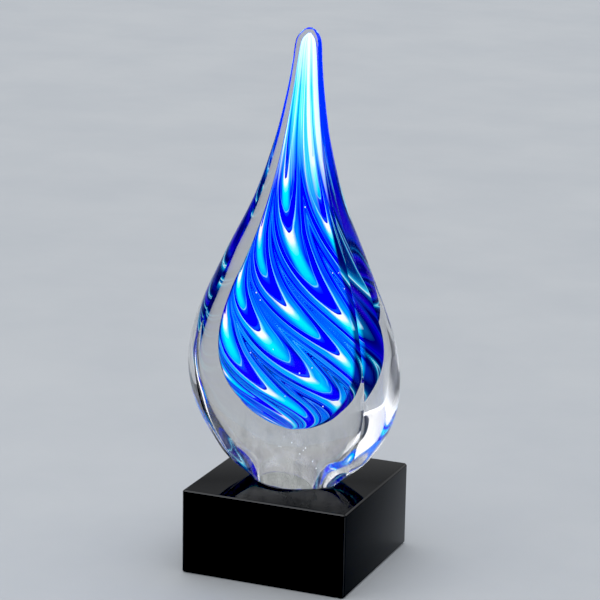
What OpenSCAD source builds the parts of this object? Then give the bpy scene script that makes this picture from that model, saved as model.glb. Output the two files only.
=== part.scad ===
// Crystal drop award: a clear glass drop with a twisted blue core, on a black glass base.
// Units are millimetres, +Z is up and the front face looks along -Y.
// The origin is the centre of the base's underside.

/* [Base] */
// Width of the base from side to side
base_w = 76; // [70:1:120]
// Depth of the base from front to back
base_d = 76; // [66:1:120]
// Height of the base
base_h = 38; // [20:1:60]
// Width of the polished chamfer along every edge of the base
base_chamfer = 0.8; // [0.4:0.1:2]

/* [Drop] */
// Height of the glass drop above the adhesive
drop_h = 197.7; // [150:0.1:230]
// Widest half-width of the drop, seen from the front
drop_r = 48.4; // [46:0.1:54]
// How far the polished face stands ahead of the drop's widest line at the belly
face_rise = 17; // [15:0.5:22]
// Depth of the back behind the widest line at the belly, as a part of the half-width
back_share = 0.6; // [0.56:0.01:0.75]
// How far the widest line bows forward at the belly and back at the tip
bow = 6.6; // [5:0.1:7]
// Thickness of the clear adhesive between drop and base
glue_t = 0.3; // [0.2:0.05:0.6]

/* [Core] */
// Height of the core's lowest point above the foot of the drop
core_bottom = 25; // [22:0.5:30]
// Clear glass above the core's tip
tip_cover = 2.5; // [2:0.1:6]
// Widest half-width of the core
core_r = 34; // [28:0.5:34]
// Half-thickness of the core from front to back, as a part of its half-width
core_flat = 0.4; // [0.34:0.01:0.44]
// Thickness of the layer of coloured trails over the core's heart
trail_t = 1.2; // [0.8:0.1:1.6]
// Turn of the trails from the tip down to the bottom
twist = 285; // [90:5:300]
// Number of times the set of four trail colours goes round the core
repeats = 10; // [6:1:10]

/* [Hidden] */

// Height of the drop's foot above the floor
drop_z = base_h + glue_t;

// The adhesive stops a little short of the foot's edge
film_share = 0.96;

// Part of the twist that comes in the tight curl at the core's bottom, and how tight it is
curl_share = 0.2;
curl_power = 6;

// Fineness of the swept glass surfaces
side_steps = 6;   // facets from the widest line to the edge of the polished face
face_steps = 6;   // facets across the polished face, which is rounded near the foot
back_steps = 22;  // facets round the drop's back
drop_rings = 40;  // levels up the drop
core_rings = 24;  // levels up the core
colours = 4;      // cobalt, sky, aqua and white, in this order round the core

// Each outline is a list of [share of the height, share of the full size].
// Half-width of the drop: ground foot, belly, long waist, rounded tip
drop_side = [
    [0, 0.42], [0.06, 0.7], [0.15, 0.923], [0.25, 1], [0.36, 0.925], [0.505, 0.675],
    [0.635, 0.425], [0.76, 0.262], [0.86, 0.178], [0.93, 0.138], [0.975, 0.117],
    [0.993, 0.07], [1, 0.02]
];
// Rise of the polished face ahead of the widest line
drop_face = [
    [0, 1.05], [0.1, 0.86], [0.2, 0.87], [0.3, 1], [0.36, 0.9], [0.43, 0.67], [0.505, 0.49],
    [0.635, 0.26], [0.76, 0.125], [0.86, 0.09], [0.975, 0.075], [1, 0.01]
];
// The widest line in side view: it bows forward at the belly and leans back to the tip
drop_bow = [
    [0, -0.1], [0.1, -0.6], [0.2, -0.94], [0.3, -1], [0.43, -0.97], [0.505, -0.8],
    [0.635, -0.42], [0.76, -0.06], [0.86, 0.3], [0.93, 0.53], [0.975, 0.68], [1, 0.9]
];
// Depth of the back, in parts of back_share: fuller near the foot, shallowest at the waist
drop_back = [
    [0, 1.17], [0.08, 1.27], [0.16, 1.2], [0.26, 1], [0.36, 0.9], [0.6, 0.93], [1, 1]
];
// Turn of each rounded side, in degrees, from the widest line to the polished face
drop_turn = [[0, 12], [0.05, 24], [0.12, 34], [0.3, 35.5], [0.93, 35.5], [1, 45]];
// Part of the face's rise that is a crown across it: rounded at the foot, flat above
drop_crown = [[0, 0.65], [0.05, 0.4], [0.12, 0.12], [0.2, 0], [1, 0]];
// Half-width of the core: round bottom, belly, waist, tip
core_side = [
    [0, 0.06], [0.012, 0.3], [0.05, 0.62], [0.12, 0.9], [0.21, 1], [0.33, 0.87],
    [0.42, 0.69], [0.53, 0.5], [0.65, 0.345], [0.75, 0.25], [0.86, 0.175], [0.95, 0.125],
    [0.985, 0.09], [1, 0.02]
];
// Middle of the core in side view, in parts of the bow, over the height of the drop
core_bow = [
    [0, -0.3], [0.35, -0.3], [0.505, -0.05], [0.635, 0.14], [0.76, 0.33], [0.86, 0.56],
    [0.93, 0.72], [0.975, 0.84], [1, 0.95]
];

// Smooth curve (Catmull-Rom) through the knots of an outline, at the share t of the height
function segment_of(knots, t, i = 0) =
    i >= len(knots) - 2 || t < knots[i + 1][0] ? i : segment_of(knots, t, i + 1);
function slope_at(knots, i) =
    let (a = max(i - 1, 0), b = min(i + 1, len(knots) - 1))
    (knots[b][1] - knots[a][1]) / (knots[b][0] - knots[a][0]);
function curve(knots, t) =
    let (
        i = segment_of(knots, t),
        span = knots[i + 1][0] - knots[i][0],
        u = (t - knots[i][0]) / span
    )
    knots[i][1] * (1 + 2 * u) * (1 - u) * (1 - u)
        + slope_at(knots, i) * span * u * (1 - u) * (1 - u)
        + knots[i + 1][1] * u * u * (3 - 2 * u)
        + slope_at(knots, i + 1) * span * u * u * (u - 1);

// Levels lie closer together near the foot and the tip
function level(k, n) = (1 - cos(180 * k / n)) / 2;

// One level of the drop: rounded sides, a polished front and a full back
function drop_ring(t) =
    let (
        side = drop_r * curve(drop_side, t),
        turn = curve(drop_turn, t),
        rise = face_rise * curve(drop_face, t),
        crown = rise * curve(drop_crown, t),
        bulge = (rise - crown) / sin(turn),
        back = side * back_share * curve(drop_back, t),
        line = bow * curve(drop_bow, t)
    )
    concat(
        [for (i = [0:back_steps - 1])
            let (a = 180 * i / back_steps)
            [side * cos(a), line + back * sin(a), t * drop_h]],
        [for (i = [0:side_steps])
            let (a = 180 + turn * i / side_steps)
            [side * cos(a), line + bulge * sin(a), t * drop_h]],
        [for (i = [1:face_steps - 1])
            let (across = 2 * i / face_steps - 1)
            [
                side * cos(turn) * across,
                line - bulge * sin(turn) - crown * (1 - across * across),
                t * drop_h
            ]],
        [for (i = [0:side_steps - 1])
            let (a = 360 - turn * (1 - i / side_steps))
            [side * cos(a), line + bulge * sin(a), t * drop_h]]
    );

// Height of a core level above the foot of the drop
core_h = drop_h - core_bottom - tip_cover;
function core_z(t) = core_bottom + t * core_h;

// Point on the core at share t of its height and angle a, sunk below its surface by inset
function core_point(t, a, inset = 0) =
    let (
        side = core_r * curve(core_side, t),
        deep = side * core_flat,
        sunk = min(inset, deep / 2),
        line = bow * curve(core_bow, core_z(t) / drop_h)
    )
    [(side - sunk) * cos(a), line + (deep - sunk) * sin(a), core_z(t)];

// Angle that the trails have turned through at share t of the core's height: they
// leave the tip straight and wind ever faster towards the bottom
function turned(t) =
    let (steady = (1 - t) * (1 - t) * (1 - t / 3), curl = pow(1 - t, curl_power))
    twist * ((1 - curl_share) * steady + curl_share * curl);

// One level of the core, with a corner wherever two trails meet
function core_ring(t, inset = 0) =
    [for (i = [0:repeats * colours - 1])
        core_point(t, turned(t) + 360 * i / (repeats * colours), inset)];

// Closed skin over a stack of rings that all have the same number of points
module skin(rings) {
    n = len(rings[0]);
    last = len(rings) - 1;
    points = [for (ring = rings) each ring];
    sides = [
        for (k = [0:last - 1], i = [0:n - 1])
        let (j = (i + 1) % n, a = k * n + i, b = k * n + j)
        each [[a, a + n, b], [b, a + n, b + n]]
    ];
    foot = [for (i = [0:n - 1]) i];
    top = [for (i = [n - 1:-1:0]) last * n + i];
    polyhedron(points, concat([foot], sides, [top]), convexity = 6);
}

// One trail: a twisted strip that fills its share of the layer over the heart
module trail(index) {
    first = 360 * index / (repeats * colours);
    next = 360 * (index + 1) / (repeats * colours);
    skin([
        for (k = [0:core_rings])
        let (t = level(k, core_rings), a = turned(t))
        [
            core_point(t, a + first, trail_t),
            core_point(t, a + first),
            core_point(t, a + next),
            core_point(t, a + next, trail_t)
        ]
    ]);
}

// Every trail of one colour
module trails(colour) {
    for (i = [0:repeats - 1]) trail(i * colours + colour);
}

// A prism whose outline is a w by d rectangle with chamfered corners
module chamfered_prism(w, d, h, c) {
    linear_extrude(h)
        polygon([
            [-w / 2 + c, -d / 2], [w / 2 - c, -d / 2], [w / 2, -d / 2 + c], [w / 2, d / 2 - c],
            [w / 2 - c, d / 2], [-w / 2 + c, d / 2], [-w / 2, d / 2 - c], [-w / 2, -d / 2 + c]
        ]);
}

module base_block() {
    color("#08080b")
        intersection() {
            chamfered_prism(base_w, base_d, base_h, base_chamfer);
            translate([0, base_d / 2, base_h / 2])
                rotate([90, 0, 0]) chamfered_prism(base_w, base_h, base_d, base_chamfer);
            translate([-base_w / 2, 0, base_h / 2])
                rotate([90, 0, 90]) chamfered_prism(base_d, base_h, base_w, base_chamfer);
        }
}

module adhesive_film() {
    color("#dfe8ee")
        translate([0, 0, base_h])
        linear_extrude(glue_t)
        polygon([for (p = drop_ring(0)) [p.x * film_share, p.y * film_share]]);
}

module crystal_casing() {
    color("#dceaf2", 0.35)
        translate([0, 0, drop_z])
        difference() {
            skin([for (k = [0:drop_rings]) drop_ring(level(k, drop_rings))]);
            skin([for (k = [0:core_rings]) core_ring(level(k, core_rings))]);
        }
}

module core_heart() {
    color("#1430c8")
        translate([0, 0, drop_z])
        skin([for (k = [0:core_rings]) core_ring(level(k, core_rings), trail_t)]);
}

module cobalt_trails() {
    color("#1400ff") translate([0, 0, drop_z]) trails(0);
}

module sky_trails() {
    color("#0a5cff") translate([0, 0, drop_z]) trails(1);
}

module aqua_trails() {
    color("#00c8ff") translate([0, 0, drop_z]) trails(2);
}

module white_trails() {
    color("#f4f8ff") translate([0, 0, drop_z]) trails(3);
}

base_block();
adhesive_film();
crystal_casing();
core_heart();
cobalt_trails();
sky_trails();
aqua_trails();
white_trails();
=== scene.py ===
"""Looks for the crystal drop award: clear drop, twisted blue core, black glass base.

Everything is in metres, in the CAD frame: +Z up, the polished face looks along -Y.
"""

import math

import bmesh
import bpy
import numpy as np
from mathutils import Matrix, Vector


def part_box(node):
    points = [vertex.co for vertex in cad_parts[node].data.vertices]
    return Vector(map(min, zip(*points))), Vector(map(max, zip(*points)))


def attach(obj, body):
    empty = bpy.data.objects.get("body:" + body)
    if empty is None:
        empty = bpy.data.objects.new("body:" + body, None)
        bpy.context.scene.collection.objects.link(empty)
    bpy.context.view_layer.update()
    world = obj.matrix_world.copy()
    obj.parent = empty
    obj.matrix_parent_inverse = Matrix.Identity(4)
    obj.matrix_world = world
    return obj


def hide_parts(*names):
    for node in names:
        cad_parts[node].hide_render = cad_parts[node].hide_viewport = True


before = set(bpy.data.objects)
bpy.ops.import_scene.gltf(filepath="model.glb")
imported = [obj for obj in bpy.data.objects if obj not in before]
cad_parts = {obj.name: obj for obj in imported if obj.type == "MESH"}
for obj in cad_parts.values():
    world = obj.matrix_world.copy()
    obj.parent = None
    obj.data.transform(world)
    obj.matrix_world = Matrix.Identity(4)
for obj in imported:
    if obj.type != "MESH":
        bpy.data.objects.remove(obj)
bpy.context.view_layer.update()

MM = 0.001

# ---------------------------------------------------------------- design values

# The drop and its core, with the CAD's values
DROP_LOW, DROP_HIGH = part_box("crystal_casing")
FOOT_Z = DROP_LOW[2]
DROP_H = DROP_HIGH[2] - FOOT_Z
DROP_R = (DROP_HIGH[0] - DROP_LOW[0]) / 2
FACE_RISE = 17 * MM  # of the polished face ahead of the drop's widest line
BACK_SHARE = 0.6  # depth of the back, as a part of the half-width
BOW = 6.6 * MM  # of the widest line, forward at the belly and back at the tip

CORE_BOTTOM = 25 * MM  # above the drop's foot
TIP_COVER = 2.5 * MM  # clear glass over the core's tip
CORE_H = DROP_H - CORE_BOTTOM - TIP_COVER
CORE_R = 34 * MM
CORE_FLAT = 0.4  # half-thickness of the core, as a part of its half-width
TWIST = 285.0  # degrees that the trails turn through
CURL_SHARE = 0.2  # part of the twist that comes in the tight curl at the bottom
CURL_POWER = 6

# Outlines, as in the CAD: [share of the height, share of the full size]
DROP_SIDE = [
    (0, 0.42), (0.06, 0.7), (0.15, 0.923), (0.25, 1), (0.36, 0.925), (0.505, 0.675),
    (0.635, 0.425), (0.76, 0.262), (0.86, 0.178), (0.93, 0.138), (0.975, 0.117),
    (0.993, 0.07), (1, 0.02),
]
DROP_FACE = [
    (0, 1.05), (0.1, 0.86), (0.2, 0.87), (0.3, 1), (0.36, 0.9), (0.43, 0.67), (0.505, 0.49),
    (0.635, 0.26), (0.76, 0.125), (0.86, 0.09), (0.975, 0.075), (1, 0.01),
]
DROP_BOW = [
    (0, -0.1), (0.1, -0.6), (0.2, -0.94), (0.3, -1), (0.43, -0.97), (0.505, -0.8),
    (0.635, -0.42), (0.76, -0.06), (0.86, 0.3), (0.93, 0.53), (0.975, 0.68), (1, 0.9),
]
DROP_TURN = [(0, 12), (0.05, 24), (0.12, 34), (0.3, 35.5), (0.93, 35.5), (1, 45)]
DROP_BACK = [
    (0, 1.17), (0.08, 1.27), (0.16, 1.2), (0.26, 1), (0.36, 0.9), (0.6, 0.93), (1, 1),
]
DROP_CROWN = [(0, 0.65), (0.05, 0.4), (0.12, 0.12), (0.2, 0), (1, 0)]
CORE_SIDE = [
    (0, 0.06), (0.012, 0.3), (0.05, 0.62), (0.12, 0.9), (0.21, 1), (0.33, 0.87),
    (0.42, 0.69), (0.53, 0.5), (0.65, 0.345), (0.75, 0.25), (0.86, 0.175), (0.95, 0.125),
    (0.985, 0.09), (1, 0.02),
]
CORE_BOW = [
    (0, -0.3), (0.35, -0.3), (0.505, -0.05), (0.635, 0.14), (0.76, 0.33), (0.86, 0.56),
    (0.93, 0.72), (0.975, 0.84), (1, 0.95),
]

# Where each cobalt lobe of a stream ends: [degrees round the core, share of its height].
# Going round the core, every stream follows the twist down from one lobe to the next.
STREAMS = [
    [(196, 0.14)],
    [(205, 0.265), (253, 0.105)],
    [(200, 0.38), (250, 0.25), (289, 0.155), (322, 0.1)],
    [(207, 0.5), (269, 0.325), (317, 0.215)],
    [(240, 0.64), (261, 0.51), (318, 0.315)],
    [(305, 0.7), (327, 0.535)],
    [(341, 0.67)],
    [(134, 0.2)],
]
LOBE_STEP = 29 * MM  # from one lobe to the next along the flow, past the listed ones
FIRST_LOBE = 88 * MM  # along the flow from the tip to the lobe that counts as 0
PULLED = 3.2  # how far the lobes are drawn out in the neck
SWEEP = 1.6  # lobes that a band sweeps back over between two streams
FLOW_STEPS = 800  # fineness of the way along the flow
FLOW_REACH = 0.75  # middle distance of the flow from the axis, in half-widths of the core
STREAK_PACE = 0.25  # change along a streak for each unit across it: small draws it out
REAR_AND_SHADE_PACE = 0.42  # bands on the back and in the painted shade for each one on the front, so they are broader
# Where the dark colours begin, as the sine of the angle ahead of the core's side line: they are the
# back's own, end just past the side line on the left, and reach round the right flank as painted
# shade
RIGHT_FLANK = (0.38, 0.46)
LEFT_FLANK = (0.24, 0.36)
FLANK_TOP = (0.5, 0.62)  # shares of the height where the right flank's painted shade fades out

# Where one set of band colours gives way to the next, from a stream's middle, 0, to its edge, 1
TO_SIDE = (0.12, 0.3)
TO_ARMS = (0.36, 0.62)
TO_LINES = (0.6, 0.95)
LINES_SHARE = 0.85
TO_COBALT = (0.22, 0.4)  # shares of the height where sky-blue sides give way to cobalt ones
WANDER = 0.16  # width, in lobes, that the bands wander over

# ---------------------------------------------------------------- seed bubbles and looks

BUBBLE_SEED = 7
BUBBLE_R = (0.13 * MM, 0.26 * MM)
BUBBLE_DRAWN = (1.1, 1.7)  # height of a bubble in widths
BUBBLES_OVER_CORE = 12
OVER_SPAN = (0.08, 0.62)  # shares of the core's height
OVER_TURN = (-150, -30)  # degrees round the core: its front is at -90
OVER_CLEAR = (0.6, 2.4)  # mm off the core
BUBBLES_BELOW = 9
BELOW_FLOOR = 6 * MM  # above the drop's foot
BELOW_CLEAR = 1.5 * MM  # under the core
BELOW_REACH = 0.5  # part of the drop's half-width
BELOW_DEPTH = (-0.4, 0.1)  # parts of the face's rise, back from the base's middle line

GLASS_IOR = 1.47
GLASS_TINT = (0.45, 0.45, 0.45, 1)  # part of what real glass mirrors head-on
CORD_DEPTH = 0.02 * MM
WISP_TOP = 34 * MM  # above the drop's foot, where the last wisps end
WISP_FULL = 10 * MM  # and where they are at their strongest
WISP_STRENGTH = 0.6
BASE_GLOSS = 0.05  # specular level of the base's faces
EDGE_GLOSS = 0.5  # and of its chamfers
RIPPLE_DEPTH = 0.012 * MM
# Painted light: the core glows, though it is no lamp
CORE_GLOW = 0.7
LOW_GLOW = (0.9, 0.9, 0.9, 1)  # of the core's lower half, as a part of its painted glow, so the lower half is painted a little darker
# Painted light: the adhesive glows a little, to lift the shadow that the core casts on it
FILM_GLOW = 0.1
# Painted glint: the seed bubbles glow, though they are no lamps
BUBBLE_GLOW = 0.9

# Linear colours: where there are two, the material varies between them
MILK = ((0.2, 0.21, 0.215, 1), (1.0, 1.0, 0.98, 1))
FILM = ((0.73, 0.76, 0.76, 1), (0.82, 0.82, 0.8, 1))
FILM_BUBBLE = (0.5, 0.55, 0.57, 1)
BLACK_AND_DUST = ((0.0012, 0.0012, 0.0016, 1), (0.02, 0.021, 0.023, 1))
PAPER = ((0.348, 0.361, 0.379, 1), (0.372, 0.383, 0.397, 1))
# Tones of the seed bubbles, which also glow as their painted glint
BUBBLE_TONES = ((0.7, 0.85, 0.95, 1), (1, 1, 1, 1))
TIP_WHITE = (0.9, 1.0, 1.0, 1.0)

# ---------------------------------------------------------------- camera and studio

CAMERA_TURN = (22.19, 15.09, 1.05)  # azimuth, elevation and roll, in degrees
CAMERA_AIM = (0, 0, 0.1183)
CAMERA_BACK = 1.083  # from the aim to the camera
CAMERA_LENS = 150.4
CAMERA_SENSOR = 36
FLOOR_R = 4.0
FLOOR_SIDES = 96
OVERHEAD = (1.8, 1.85, 1.9, 1)
BLACK_POINT = 0.012  # linear light that is shown as black

# ---------------------------------------------------------------- curves and meshes


def curve(knots, t):
    """Smooth curve through the knots, the same cubic as in the CAD."""
    x = np.array([k[0] for k in knots], float)
    y = np.array([k[1] for k in knots], float)
    last = len(x) - 1
    ends = [(max(i - 1, 0), min(i + 1, last)) for i in range(len(x))]
    slope = np.array([(y[b] - y[a]) / (x[b] - x[a]) for a, b in ends])
    t = np.asarray(t, float)
    i = np.clip(np.searchsorted(x, t, side="right") - 1, 0, last - 1)
    span = x[i + 1] - x[i]
    u = (t - x[i]) / span
    v = 1 - u
    return (
        y[i] * (1 + 2 * u) * v * v
        + slope[i] * span * u * v * v
        + y[i + 1] * u * u * (3 - 2 * u)
        - slope[i + 1] * span * u * u * v
    )


def levels(n, bunched=0.85):
    """n + 1 shares of the height, closer together near both ends."""
    k = np.linspace(0, 1, n + 1)
    return (1 - bunched) * k + bunched * (1 - np.cos(np.pi * k)) / 2


def part_way(value, low, high):
    """0 below low, 1 above high, straight between them."""
    return np.clip((value - low) / (high - low), 0, 1)


def link(name, mesh):
    piece = bpy.data.objects.new(name, mesh)
    bpy.context.scene.collection.objects.link(piece)
    return piece


def smooth(mesh):
    mesh.polygons.foreach_set("use_smooth", [True] * len(mesh.polygons))


def mesh_of(name, form):
    """Smooth mesh of a bmesh, which is freed."""
    mesh = bpy.data.meshes.new(name)
    form.to_mesh(mesh)
    form.free()
    smooth(mesh)
    return mesh


def skin(name, rings):
    """Closed smooth mesh over a stack of rings, an array of (levels, points, 3)."""
    count, around, _ = rings.shape
    k, i = np.meshgrid(np.arange(count - 1), np.arange(around), indexing="ij")
    j = (i + 1) % around
    low = k * around
    quads = np.stack([low + i, low + j, low + around + j, low + around + i], -1)
    foot = [list(range(around))[::-1]]
    top = [[(count - 1) * around + i for i in range(around)]]
    mesh = bpy.data.meshes.new(name)
    mesh.from_pydata(rings.reshape(-1, 3).tolist(), [], quads.reshape(-1, 4).tolist() + foot + top)
    smooth(mesh)
    mesh.update()
    return link(name, mesh)


# ---------------------------------------------------------------- drop


def drop_section(t, per_side=26, per_face=24, back_steps=120):
    """One level of the drop: full back, rounded sides, polished front crowned near the foot."""
    side = DROP_R * curve(DROP_SIDE, t)
    turn = np.radians(curve(DROP_TURN, t))
    rise = FACE_RISE * curve(DROP_FACE, t)
    crown = rise * curve(DROP_CROWN, t)
    bulge = (rise - crown) / np.sin(turn)
    line = BOW * curve(DROP_BOW, t)
    back_depth = BACK_SHARE * side * curve(DROP_BACK, t)
    a = np.linspace(0, math.pi, back_steps, endpoint=False)
    back = np.stack([side * np.cos(a), line + back_depth * np.sin(a)], -1)
    b = np.linspace(0, turn, per_side, endpoint=True)
    right = np.stack([side * np.cos(b), line - bulge * np.sin(b)], -1)
    corner = right[-1]
    across = np.linspace(-1, 1, per_face + 2)[1:-1]
    face = np.stack([corner[0] * across, corner[1] - crown * (1 - across ** 2)], -1)
    left = right * [-1, 1]
    loop = np.concatenate([back, left, face, right[::-1][:-1]])
    return np.concatenate([loop, np.full((len(loop), 1), FOOT_Z + t * DROP_H)], 1)


def make_drop(up=240, sharp_from=24):
    """The clear drop, with a sharp edge wherever two faces turn by more than sharp_from degrees."""
    rings = np.stack([drop_section(t) for t in levels(up)])
    drop = skin("crystal_drop", rings)
    drop.data.set_sharp_from_angle(angle=math.radians(sharp_from))
    return drop


# ---------------------------------------------------------------- core


def turned(t):
    """Angle in degrees that the trails have turned through at share t of the core."""
    steady = (1 - CURL_SHARE) * (1 - t) ** 2 * (1 - t / 3)
    curl = CURL_SHARE * (1 - t) ** CURL_POWER
    return TWIST * (steady + curl)


def core_rings(t, angle, sunk=0.0):
    """Points on the core at shares t and angles in radians, sunk below its surface."""
    z = CORE_BOTTOM + t * CORE_H
    side = CORE_R * curve(CORE_SIDE, t)
    line = BOW * curve(CORE_BOW, z / DROP_H)
    x = (side - sunk) * np.cos(angle)
    y = line + (side * CORE_FLAT - sunk) * np.sin(angle)
    return np.stack([x, y, FOOT_Z + z], -1)


def flow_length():
    """Shares of the height, from the tip down, and the way along the flow to each."""
    t = np.linspace(1, 0, FLOW_STEPS + 1)
    middle = (t[1:] + t[:-1]) / 2
    across = FLOW_REACH * CORE_R * curve(CORE_SIDE, middle) * np.radians(np.diff(turned(t)))
    steps = np.hypot(CORE_H * np.diff(t), across)
    return t, np.concatenate([[0], np.cumsum(steps)])


def extend(places, values, step_before, step_after, way):
    """Line through (place, value), carried on past both ends with the given steps."""
    inside = np.interp(way, places, values)
    before = values[0] - (places[0] - way) / step_before
    after = values[-1] + (way - places[-1]) / step_after
    return np.where(way < places[0], before, np.where(way > places[-1], after, inside))


def stream_lines(way, flow_t, flow_way):
    """Each stream's middle in degrees and its count of lobes, at each way along the flow."""
    lines = []
    for lobes in STREAMS:
        share = np.array([lobe[1] for lobe in lobes])
        places = np.interp(-share, -flow_t, flow_way)
        middle = np.array([lobe[0] for lobe in lobes]) - turned(share)
        first = round((places[0] - FIRST_LOBE) / LOBE_STEP)
        count = first + np.arange(len(lobes), dtype=float)
        lines.append((
            np.interp(way, places, middle),
            extend(places, count, PULLED * LOBE_STEP, LOBE_STEP, way),
        ))
    return lines


def flow_field(t, angle):
    """Two values for each point of the core.

    The first is its place in the band pattern, in lobes: it grows down the flow and
    towards the crease between two streams. The second is 0 in the middle of a stream
    and 1 at that crease.
    """
    flow_t, flow_way = flow_length()
    way = np.interp(-t, -flow_t, flow_way)
    home = np.degrees(angle) - turned(t)
    lines = stream_lines(way[:, 0], flow_t, flow_way)
    lines = [(middle[:, None], count[:, None]) for middle, count in lines]
    field = np.zeros_like(t)
    edge = np.zeros_like(t)
    for i, (middle, count) in enumerate(lines):
        next_middle, next_count = lines[(i + 1) % len(lines)]
        width = (next_middle - middle) % 360
        past = (home - middle) % 360
        inside = past < width
        crease = (count + next_count) / 2 + SWEEP
        share = np.clip(past / width, 0, 1)
        near = np.where(share < 0.5, count, next_count)
        off = 1 - np.abs(2 * share - 1)
        value = near + (crease - near) * off ** 2
        field = np.where(inside, value, field)
        edge = np.where(inside, off, edge)
    return field, edge


def give(mesh, name, kind, values):
    """Stores one value for each point of the mesh."""
    store = mesh.attributes.new(name, kind, "POINT")
    field = "vector" if kind == "FLOAT_VECTOR" else "value"
    store.data.foreach_set(field, values.ravel().astype("f"))


def far_side(t, angle):
    """Share of the dark colours at each point of the core: the back's own, and painted shade round
    the right flank.
    """
    front = -np.sin(angle)
    left = 1 - part_way(front, *LEFT_FLANK)
    # Painted shade: the right flank is darker, below FLANK_TOP
    right = (1 - part_way(front, *RIGHT_FLANK)) * (1 - part_way(t, *FLANK_TOP))
    return np.where(np.cos(angle) > 0, np.maximum(left, right), left)


def make_core(around=320, up=280):
    """The core, with the values that its colours are worked out from on its points."""
    turn = np.linspace(0, 2 * math.pi, around, endpoint=False)
    t, angle = np.meshgrid(levels(up), turn, indexing="ij")
    core = skin("twisted_core", core_rings(t, angle))
    flow, edge = flow_field(t, angle)
    front = -np.sin(angle)
    # The dark colours: the back's own, and painted shade on the right flank
    values = {"flow": flow, "edge": edge, "front": front, "far": far_side(t, angle), "share": t}
    for name, value in values.items():
        give(core.data, name, "FLOAT", value)
    home = angle - np.radians(turned(t))
    streak = np.stack([np.cos(home), np.sin(home), STREAK_PACE * t], -1)
    give(core.data, "streak", "FLOAT_VECTOR", streak)
    return core


# ---------------------------------------------------------------- seed bubbles


def bubble_places():
    """Centres of the seed bubbles: over the core's front, and in the clear glass below it."""
    draw = np.random.default_rng(BUBBLE_SEED)
    for _ in range(BUBBLES_OVER_CORE):
        t = draw.uniform(*OVER_SPAN)
        angle = math.radians(draw.uniform(*OVER_TURN))
        yield core_rings(np.array(t), np.array(angle), -draw.uniform(*OVER_CLEAR) * MM)
    for _ in range(BUBBLES_BELOW):
        z = draw.uniform(BELOW_FLOOR, CORE_BOTTOM - BELOW_CLEAR)
        reach = BELOW_REACH * DROP_R * curve(DROP_SIDE, z / DROP_H)
        depth = draw.uniform(*BELOW_DEPTH) * FACE_RISE
        yield np.array([draw.uniform(-1, 1) * reach, depth, FOOT_Z + z])


def make_bubbles():
    """One mesh of small bubbles, each a little drawn out up the glass."""
    draw = np.random.default_rng(BUBBLE_SEED + 1)
    form = bmesh.new()
    for centre in bubble_places():
        radius = draw.uniform(*BUBBLE_R)
        drawn = Matrix.Diagonal((1, 1, draw.uniform(*BUBBLE_DRAWN), 1))
        place = Matrix.Translation(Vector(centre.ravel())) @ drawn
        bmesh.ops.create_icosphere(form, subdivisions=2, radius=radius, matrix=place)
    return link("seed_bubbles", mesh_of("seed_bubbles", form))


# ---------------------------------------------------------------- base


def make_base(chamfer=0.8 * MM, soften=0.15 * MM, soften_from=20, crease_from=30):
    """The base block: chamfers in a second material, then every edge over soften_from degrees
    softened, and those over crease_from shaded sharp."""
    low, high = (Vector(c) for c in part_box("base_block"))
    place = Matrix.Translation((low + high) / 2) @ Matrix.Diagonal((*(high - low), 1))
    form = bmesh.new()
    bmesh.ops.create_cube(form, size=1, matrix=place)
    ground = bmesh.ops.bevel(
        form, geom=form.edges[:], offset=chamfer, segments=1, affect="EDGES", profile=0.5,
    )
    for face in ground["faces"]:
        face.material_index = 1
    sharp = [e for e in form.edges if e.calc_face_angle(0) > math.radians(soften_from)]
    bmesh.ops.bevel(form, geom=sharp, offset=soften, segments=3, affect="EDGES", profile=0.5)
    mesh = mesh_of("base_body", form)
    mesh.set_sharp_from_angle(angle=math.radians(crease_from))
    return link("base_body", mesh)


# ---------------------------------------------------------------- shader nodes


def new_material(name):
    material = bpy.data.materials.new(name)
    material.use_nodes = True
    tree = material.node_tree
    return material, tree, tree.nodes["Principled BSDF"]


def srgb(code):
    """Linear colour of a six-digit sRGB code."""
    parts = [int(code[i:i + 2], 16) / 255 for i in (0, 2, 4)]
    return (*(p / 12.92 if p <= 0.04045 else ((p + 0.055) / 1.055) ** 2.4 for p in parts), 1)


def ramp(tree, factor, stops):
    """Colour ramp through (place, code) stops."""
    node = tree.nodes.new("ShaderNodeValToRGB")
    band = node.color_ramp
    while len(band.elements) < len(stops):
        band.elements.new(1)
    for element, (place, code) in zip(band.elements, stops):
        element.position = place
        element.color = srgb(code)
    tree.links.new(factor, node.inputs[0])
    return node.outputs[0]


def maths(tree, operation, *values, clamp=False):
    node = tree.nodes.new("ShaderNodeMath")
    node.operation = operation
    node.use_clamp = clamp
    for socket, value in zip(node.inputs, values):
        if isinstance(value, (int, float)):
            socket.default_value = value
        else:
            tree.links.new(value, socket)
    return node.outputs[0]


def blend(tree, factor, first, second, kind="MIX"):
    node = tree.nodes.new("ShaderNodeMix")
    node.data_type = "RGBA"
    node.blend_type = kind
    for name, value in (("Factor_Float", factor), ("A_Color", first), ("B_Color", second)):
        socket = next(i for i in node.inputs if i.identifier == name)
        if isinstance(value, (float, int, tuple)):
            socket.default_value = value
        else:
            tree.links.new(value, socket)
    return next(o for o in node.outputs if o.identifier == "Result_Color")


def times(tree, value, factor):
    return maths(tree, "MULTIPLY", value, factor)


def tinted(tree, colour, tint):
    """The colour times the tint."""
    return blend(tree, 1.0, colour, tint, "MULTIPLY")


def mix_shaders(tree, factor, first, second):
    node = tree.nodes.new("ShaderNodeMixShader")
    for socket, value in zip(node.inputs, (factor, first, second)):
        tree.links.new(value, socket)
    return node.outputs[0]


def attribute(tree, name, output="Fac"):
    """What the mesh's attribute says at each point."""
    node = tree.nodes.new("ShaderNodeAttribute")
    node.attribute_name = name
    return node.outputs[output]


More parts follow.
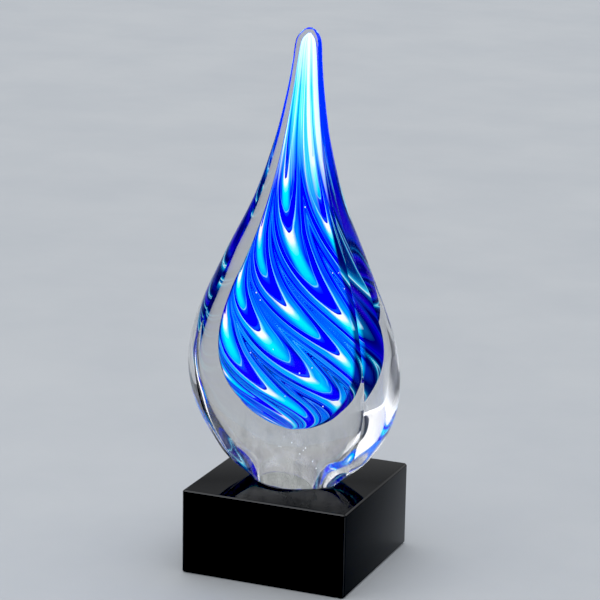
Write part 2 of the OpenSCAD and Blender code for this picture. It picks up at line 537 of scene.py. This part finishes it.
def noise(tree, vector, scale, detail=2, rough=0.5, dimensions="3D"):
    node = tree.nodes.new("ShaderNodeTexNoise")
    node.noise_dimensions = dimensions
    node.inputs["Scale"].default_value = scale
    node.inputs["Detail"].default_value = detail
    node.inputs["Roughness"].default_value = rough
    tree.links.new(vector, node.inputs["W" if dimensions == "1D" else "Vector"])
    return node.outputs[0]


def stretch(tree, value, low, high):
    """0 at low, 1 at high, straight between them."""
    gain = 1 / (high - low)
    return maths(tree, "MULTIPLY_ADD", value, gain, -low * gain, clamp=True)


def bump(tree, height, distance):
    """Bump from a height of 0 to 1, that many metres deep."""
    node = tree.nodes.new("ShaderNodeBump")
    node.inputs["Distance"].default_value = distance
    tree.links.new(height, node.inputs["Height"])
    return node.outputs[0]


def drawn_out(tree, place, shape):
    """Object coordinates scaled by a different amount along each axis."""
    node = tree.nodes.new("ShaderNodeMapping")
    node.inputs["Scale"].default_value = shape
    tree.links.new(place, node.inputs["Vector"])
    return node.outputs[0]


def object_place(tree):
    return tree.nodes.new("ShaderNodeTexCoord").outputs["Object"]


# ---------------------------------------------------------------- materials


def wisps(tree, place):
    """Share of faint milky streaks in the clear glass: they rise from the foot and fade out."""
    drawn = drawn_out(tree, place, (1, 1, 0.3))
    swirl = noise(tree, drawn, scale=130.0, detail=4, rough=0.62)
    split = tree.nodes.new("ShaderNodeSeparateXYZ")
    tree.links.new(place, split.inputs[0])
    low = stretch(tree, split.outputs[2], FOOT_Z + WISP_TOP, FOOT_Z + WISP_FULL)
    streaks = stretch(tree, swirl, 0.42, 0.78)
    return times(tree, times(tree, streaks, low), WISP_STRENGTH)


def milk(tree, place):
    """What the wisps are made of: a matt white that is darker in places."""
    drawn = drawn_out(tree, place, (1, 1, 0.3))
    cloud = noise(tree, drawn, scale=170.0, detail=2, rough=0.5)
    node = tree.nodes.new("ShaderNodeBsdfDiffuse")
    tree.links.new(blend(tree, stretch(tree, cloud, 0.4, 0.6), *MILK), node.inputs["Color"])
    return node.outputs[0]


def clear_glass():
    """Clear crystal with faint cords, and wisps near the foot; shadow rays pass through it."""
    material, tree, shader = new_material("clear_crystal")
    shader.inputs["Transmission Weight"].default_value = 1
    shader.inputs["Roughness"].default_value = 0
    shader.inputs["IOR"].default_value = GLASS_IOR
    shader.inputs["Specular Tint"].default_value = GLASS_TINT
    place = object_place(tree)
    drawn = drawn_out(tree, place, (1, 1, 0.35))
    cords = noise(tree, drawn, scale=60.0, detail=1, rough=0.4)
    tree.links.new(bump(tree, cords, CORD_DEPTH), shader.inputs["Normal"])
    body = mix_shaders(tree, wisps(tree, place), shader.outputs[0], milk(tree, place))
    clear = tree.nodes.new("ShaderNodeBsdfTransparent").outputs[0]
    shadow = tree.nodes.new("ShaderNodeLightPath").outputs["Is Shadow Ray"]
    surface = mix_shaders(tree, shadow, body, clear)
    tree.links.new(surface, tree.nodes["Material Output"].inputs[0])
    return material


def black_glass(name, gloss):
    """Black glass: a faint ripple, hairline polishing marks and a little dust."""
    material, tree, shader = new_material(name)
    place = object_place(tree)
    dust = stretch(tree, noise(tree, place, scale=900.0, detail=3, rough=0.7), 0.66, 0.8)
    tone = blend(tree, times(tree, dust, 0.25), *BLACK_AND_DUST)
    tree.links.new(tone, shader.inputs["Base Color"])
    drawn = drawn_out(tree, place, (1, 0.08, 1))
    marks = noise(tree, drawn, scale=420.0, detail=3, rough=0.6)
    tree.links.new(maths(tree, "MULTIPLY_ADD", marks, 0.06, 0.005), shader.inputs["Roughness"])
    ripple = noise(tree, place, scale=45.0, detail=1, rough=0.4)
    tree.links.new(bump(tree, ripple, RIPPLE_DEPTH), shader.inputs["Normal"])
    shader.inputs["Specular IOR Level"].default_value = gloss
    return material


def adhesive():
    """Clear set adhesive: pale and a little cloudy, with trapped bubbles, and a faint painted glow
    that lifts the core's shadow on it.
    """
    material, tree, shader = new_material("adhesive")
    place = object_place(tree)
    cloud = noise(tree, place, scale=180.0, detail=3, rough=0.6)
    specks = noise(tree, place, scale=1400.0, detail=1, rough=0.4)
    bubbles = stretch(tree, specks, 0.6, 0.7)
    tone = blend(tree, cloud, *FILM)
    tone = blend(tree, times(tree, bubbles, 0.35), tone, FILM_BUBBLE)
    tree.links.new(tone, shader.inputs["Base Color"])
    # Painted light: the adhesive's tone also glows, lifting the core's shadow on it
    tree.links.new(tone, shader.inputs["Emission Color"])
    shader.inputs["Emission Strength"].default_value = FILM_GLOW
    tree.links.new(maths(tree, "MULTIPLY_ADD", cloud, 0.4, 0.2), shader.inputs["Roughness"])
    tree.links.new(bump(tree, bubbles, 0.03 * MM), shader.inputs["Normal"])
    return material


def floor_paper():
    """Matt pale paper with soft mottling and a fine grain."""
    material, tree, shader = new_material("floor_paper")
    place = object_place(tree)
    mottle = stretch(tree, noise(tree, place, scale=9.0, detail=4, rough=0.6), 0.35, 0.65)
    tree.links.new(blend(tree, mottle, *PAPER), shader.inputs["Base Color"])
    grain = noise(tree, place, scale=1500.0)
    tree.links.new(bump(tree, grain, 0.05 * MM), shader.inputs["Normal"])
    shader.inputs["Roughness"].default_value = 0.9
    return material


def bubble_glass():
    """Seed bubbles: bright specks of painted glint, glowing pale blue to white, some whiter than
    others.
    """
    material, tree, shader = new_material("seed_bubble")
    tone = blend(tree, noise(tree, object_place(tree), scale=300.0, detail=1), *BUBBLE_TONES)
    tree.links.new(tone, shader.inputs["Base Color"])
    # Painted glint: the bubbles' tones also glow
    tree.links.new(tone, shader.inputs["Emission Color"])
    shader.inputs["Emission Strength"].default_value = BUBBLE_GLOW
    shader.inputs["Roughness"].default_value = 0.15
    return material


# ---------------------------------------------------------------- colours of the core

# Colours along one lobe, from one white crescent to the next: (place, sRGB code)
MIDDLE = [
    (0.0, "ffffff"), (0.1, "f4fdff"), (0.17, "80f0ff"), (0.26, "00e8ff"), (0.5, "00d0ff"),
    (0.6, "00a4ff"), (0.615, "7fd4ff"), (0.63, "0a50ff"), (0.68, "1a2cff"), (0.73, "1400ff"),
    (0.9, "1200f4"), (0.93, "1c50ff"), (0.965, "1a3cff"), (0.975, "0a00b0"), (0.99, "0a00c8"),
    (1.0, "ffffff"),
]
SKY_SIDE = [
    (0.0, "b8f0ff"), (0.05, "50ccff"), (0.12, "0098ff"), (0.3, "00b8ff"), (0.5, "0098ff"),
    (0.6, "0a70ff"), (0.615, "5cb8ff"), (0.63, "0a3cff"), (0.7, "1400ff"), (0.93, "1200f4"),
    (0.965, "1a50ff"), (0.98, "0a00b0"), (1.0, "b8f0ff"),
]
COBALT_SIDE = [
    (0.0, "b8f0ff"), (0.05, "50ccff"), (0.11, "0070ff"), (0.26, "0090ff"), (0.42, "0048ff"),
    (0.5, "0a20ff"), (0.6, "1430ff"), (0.615, "5cb8ff"), (0.63, "0a20ff"), (0.7, "1400ff"),
    (0.93, "1000e0"), (0.965, "1a50ff"), (0.98, "0a00b0"), (1.0, "b8f0ff"),
]
SKY_ARMS = [
    (0.0, "70d0ff"), (0.03, "1e90ff"), (0.08, "0078ff"), (0.3, "10b0ff"), (0.44, "0078ff"),
    (0.5, "50c8ff"), (0.53, "0030ff"), (0.62, "0c00e0"), (0.93, "0600a0"), (0.96, "0a60ff"),
    (1.0, "70d0ff"),
]
COBALT_ARMS = [
    (0.0, "70d0ff"), (0.03, "1e90ff"), (0.06, "0a40ff"), (0.24, "0028ff"), (0.36, "1400ff"),
    (0.5, "0c08f0"), (0.53, "3ab0ff"), (0.56, "0a20ff"), (0.66, "1400ff"), (0.95, "0a00c0"),
    (0.97, "2a80ff"), (1.0, "70d0ff"),
]
# Colours of the fine lines, by the noise that draws them: (noise, sRGB code)
SKY_LINES = [
    (0.32, "060080"), (0.4, "0c00e0"), (0.46, "0050ff"), (0.51, "0098ff"), (0.55, "0064ff"),
    (0.58, "60d0ff"), (0.61, "0a28ff"), (0.68, "0600a0"),
]
COBALT_LINES = [
    (0.34, "0800a0"), (0.45, "1400ff"), (0.53, "0830ff"), (0.57, "1478ff"), (0.6, "40b8ff"),
    (0.63, "0a28ff"), (0.7, "0c00d0"),
]


def band_colours(tree, flow, edge, share):
    """Bands of one lobe: a white crescent, a cyan tongue, then cobalt up to the next crescent.

    From a stream's middle to its edge the white fades first, then the cyan, and past
    that the bands run together into fine lines. Away from the middle they are sky blue
    low down on the core and cobalt above.
    """
    place = maths(tree, "FRACT", flow)
    grain = noise(tree, flow, scale=3.4, detail=2, rough=0.55, dimensions="1D")
    high = stretch(tree, share, *TO_COBALT)
    side = blend(tree, high, ramp(tree, place, SKY_SIDE), ramp(tree, place, COBALT_SIDE))
    arms = blend(tree, high, ramp(tree, place, SKY_ARMS), ramp(tree, place, COBALT_ARMS))
    lines = blend(tree, high, ramp(tree, grain, SKY_LINES), ramp(tree, grain, COBALT_LINES))
    colour = blend(tree, stretch(tree, edge, *TO_SIDE), ramp(tree, place, MIDDLE), side)
    colour = blend(tree, stretch(tree, edge, *TO_ARMS), colour, arms)
    return blend(tree, times(tree, stretch(tree, edge, *TO_LINES), LINES_SHARE), colour, lines)


def rear_and_shade_colours(tree, flow):
    """The same bands in navy and teal, on the core's back, and as painted shade round its right
    flank.
    """
    broad = maths(tree, "FRACT", times(tree, flow, REAR_AND_SHADE_PACE))
    return ramp(tree, broad, [
        (0.0, "0a28a8"), (0.16, "040a50"), (0.34, "04246c"), (0.44, "0a6ca4"), (0.5, "3cb8d4"),
        (0.53, "b4dce4"), (0.56, "0a5a98"), (0.68, "06086c"), (0.86, "2008b4"), (1.0, "0a28a8"),
    ])


def neck_colours(tree, streaks):
    """Long pale streaks of the drawn-out neck."""
    return ramp(tree, streaks, [
        (0.3, "1496ff"), (0.38, "20d0ff"), (0.44, "60ecff"), (0.51, "d0fcff"), (0.58, "f8ffff"),
        (0.64, "70e8ff"), (0.7, "20b8ff"),
    ])


def wandering(tree, flow, streak):
    """The flow, wandering a little to either side."""
    wander = noise(tree, streak, scale=5.0, detail=1)
    return maths(tree, "SUBTRACT", maths(tree, "MULTIPLY_ADD", wander, WANDER, flow), WANDER / 2)


def with_violet(tree, colour, streak):
    """The colour, turned towards violet in patches."""
    patches = stretch(tree, noise(tree, streak, scale=1.6, detail=0), 0.5, 0.75)
    return blend(tree, times(tree, patches, 0.5), colour, tinted(tree, colour, srgb("ff50ff")))


def with_neck(tree, colour, share, streak):
    """The colour, running out into pale streaks in the neck, and near white at the tip."""
    streaks = noise(tree, streak, scale=3.4, detail=3, rough=0.55)
    lift = maths(tree, "MULTIPLY_ADD", streaks, 0.5, share)
    colour = blend(tree, stretch(tree, lift, 0.87, 1.01), colour, neck_colours(tree, streaks))
    return blend(tree, times(tree, stretch(tree, share, 0.87, 1.03), 0.8), colour, TIP_WHITE)


def with_far_side(tree, colour, flow, share):
    """The colour, with the dark back and the painted shade round the right flank, and plain blue at
    the back of the neck.
    """
    colour = blend(tree, attribute(tree, "far"), colour, rear_and_shade_colours(tree, flow))
    behind = stretch(tree, attribute(tree, "front"), 0.4, 0.15)
    neck = stretch(tree, share, 0.6, 0.8)
    return blend(tree, times(tree, behind, neck), colour, srgb("1436ff"))


def core_glass():
    """The twisted glass: its colours, which also glow as painted light, a little less in the lower
    half, where that is painted shade.
    """
    material, tree, shader = new_material("core_colours")
    share = attribute(tree, "share")
    streak = attribute(tree, "streak", "Vector")
    flow = wandering(tree, attribute(tree, "flow"), streak)
    colour = band_colours(tree, flow, attribute(tree, "edge"), share)
    colour = with_violet(tree, colour, streak)
    colour = with_neck(tree, colour, share, streak)
    colour = with_far_side(tree, colour, flow, share)
    tree.links.new(colour, shader.inputs["Base Color"])
    # Painted shade: the painted glow is weaker in the lower half
    upper = stretch(tree, share, 0.47, 1.1)
    glow = blend(tree, upper, tinted(tree, colour, LOW_GLOW), colour)
    # Painted light: the colours glow, though the core is no lamp
    tree.links.new(glow, shader.inputs["Emission Color"])
    shader.inputs["Emission Strength"].default_value = CORE_GLOW
    shader.inputs["Specular IOR Level"].default_value = 0.0
    shader.inputs["Roughness"].default_value = 0.6
    return material


# ---------------------------------------------------------------- stage


def make_camera():
    azimuth, elevation, roll = (math.radians(v) for v in CAMERA_TURN)
    back = Vector((
        math.sin(azimuth) * math.cos(elevation),
        -math.cos(azimuth) * math.cos(elevation),
        math.sin(elevation),
    ))
    level = Vector((math.cos(azimuth), math.sin(azimuth), 0))
    upright = back.cross(level)
    right = level * math.cos(roll) + upright * math.sin(roll)
    up = upright * math.cos(roll) - level * math.sin(roll)
    camera = bpy.data.cameras.new("camera")
    camera.lens = CAMERA_LENS
    camera.sensor_width = CAMERA_SENSOR
    camera.clip_start = 0.01
    holder = bpy.data.objects.new("camera", camera)
    bpy.context.scene.collection.objects.link(holder)
    turn = Matrix((right, up, back)).transposed().to_4x4()
    holder.matrix_world = Matrix.Translation(Vector(CAMERA_AIM) + back * CAMERA_BACK) @ turn
    bpy.context.scene.camera = holder


def area_light(name, place, size, power, aim):
    light = bpy.data.lights.new(name, "AREA")
    light.shape = "RECTANGLE"
    light.size, light.size_y = size
    light.energy = power
    holder = bpy.data.objects.new(name, light)
    holder.location = place
    holder.rotation_euler = (Vector(aim) - Vector(place)).to_track_quat("-Z", "Y").to_euler()
    bpy.context.scene.collection.objects.link(holder)


def make_floor():
    turn = np.linspace(0, 2 * math.pi, FLOOR_SIDES, endpoint=False)
    rim = [(FLOOR_R * math.cos(a), FLOOR_R * math.sin(a), 0) for a in turn]
    mesh = bpy.data.meshes.new("floor")
    mesh.from_pydata(rim, [], [list(range(len(rim)))])
    floor = link("floor", mesh)
    floor.data.materials.append(floor_paper())


def make_world():
    """Soft dome: bright overhead, pale behind the object, dim in front, darkest at its sides.

    The camera sees a plain pale grey in its place.
    """
    world = bpy.data.worlds.new("studio")
    world.use_nodes = True
    tree = world.node_tree
    background = tree.nodes["Background"]
    place = tree.nodes.new("ShaderNodeTexCoord")
    split = tree.nodes.new("ShaderNodeSeparateXYZ")
    tree.links.new(place.outputs["Generated"], split.inputs[0])
    behind = maths(tree, "MULTIPLY_ADD", split.outputs[1], 0.5, 0.5)
    shade = ramp(tree, behind, [
        (0.0, "5a5c60"), (0.4, "1c2030"), (0.6, "404850"), (0.8, "b8babc"), (1, "c0c2c4"),
    ])
    overhead = ramp(tree, split.outputs[2], [(0.35, "000000"), (0.8, "ffffff")])
    dome = blend(tree, 1.0, shade, tinted(tree, overhead, OVERHEAD), "ADD")
    seen = tree.nodes.new("ShaderNodeLightPath").outputs["Is Camera Ray"]
    tree.links.new(blend(tree, seen, dome, srgb("c4c8cc")), background.inputs[0])
    bpy.context.scene.world = world


def set_view():
    """Plain sRGB, with the darkest tones taken down to black."""
    view = bpy.context.scene.view_settings
    view.view_transform = "Standard"
    view.use_curve_mapping = True
    view.curve_mapping.black_level = (BLACK_POINT,) * 3
    view.curve_mapping.update()


# ---------------------------------------------------------------- assembly

make_camera()
make_floor()
make_world()
area_light(
    "front_left_box", place=(-0.35, -0.36, 0.26), size=(0.2, 0.5), power=0.4, aim=(0, 0, 0.2),
)
set_view()

drop = make_drop()
drop.data.materials.append(clear_glass())
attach(drop, "root")
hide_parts("crystal_casing")

core = make_core()
core.data.materials.append(core_glass())
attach(core, "root")
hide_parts("cobalt_trails", "sky_trails", "aqua_trails", "white_trails", "core_heart")

bubbles = make_bubbles()
bubbles.data.materials.append(bubble_glass())
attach(bubbles, "root")

base = make_base()
base.data.materials.append(black_glass("black_glass", BASE_GLOSS))
base.data.materials.append(black_glass("ground_edge", EDGE_GLOSS))
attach(base, "root")
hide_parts("base_block")

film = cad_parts["adhesive_film"]
film.data.materials.clear()
film.data.materials.append(adhesive())
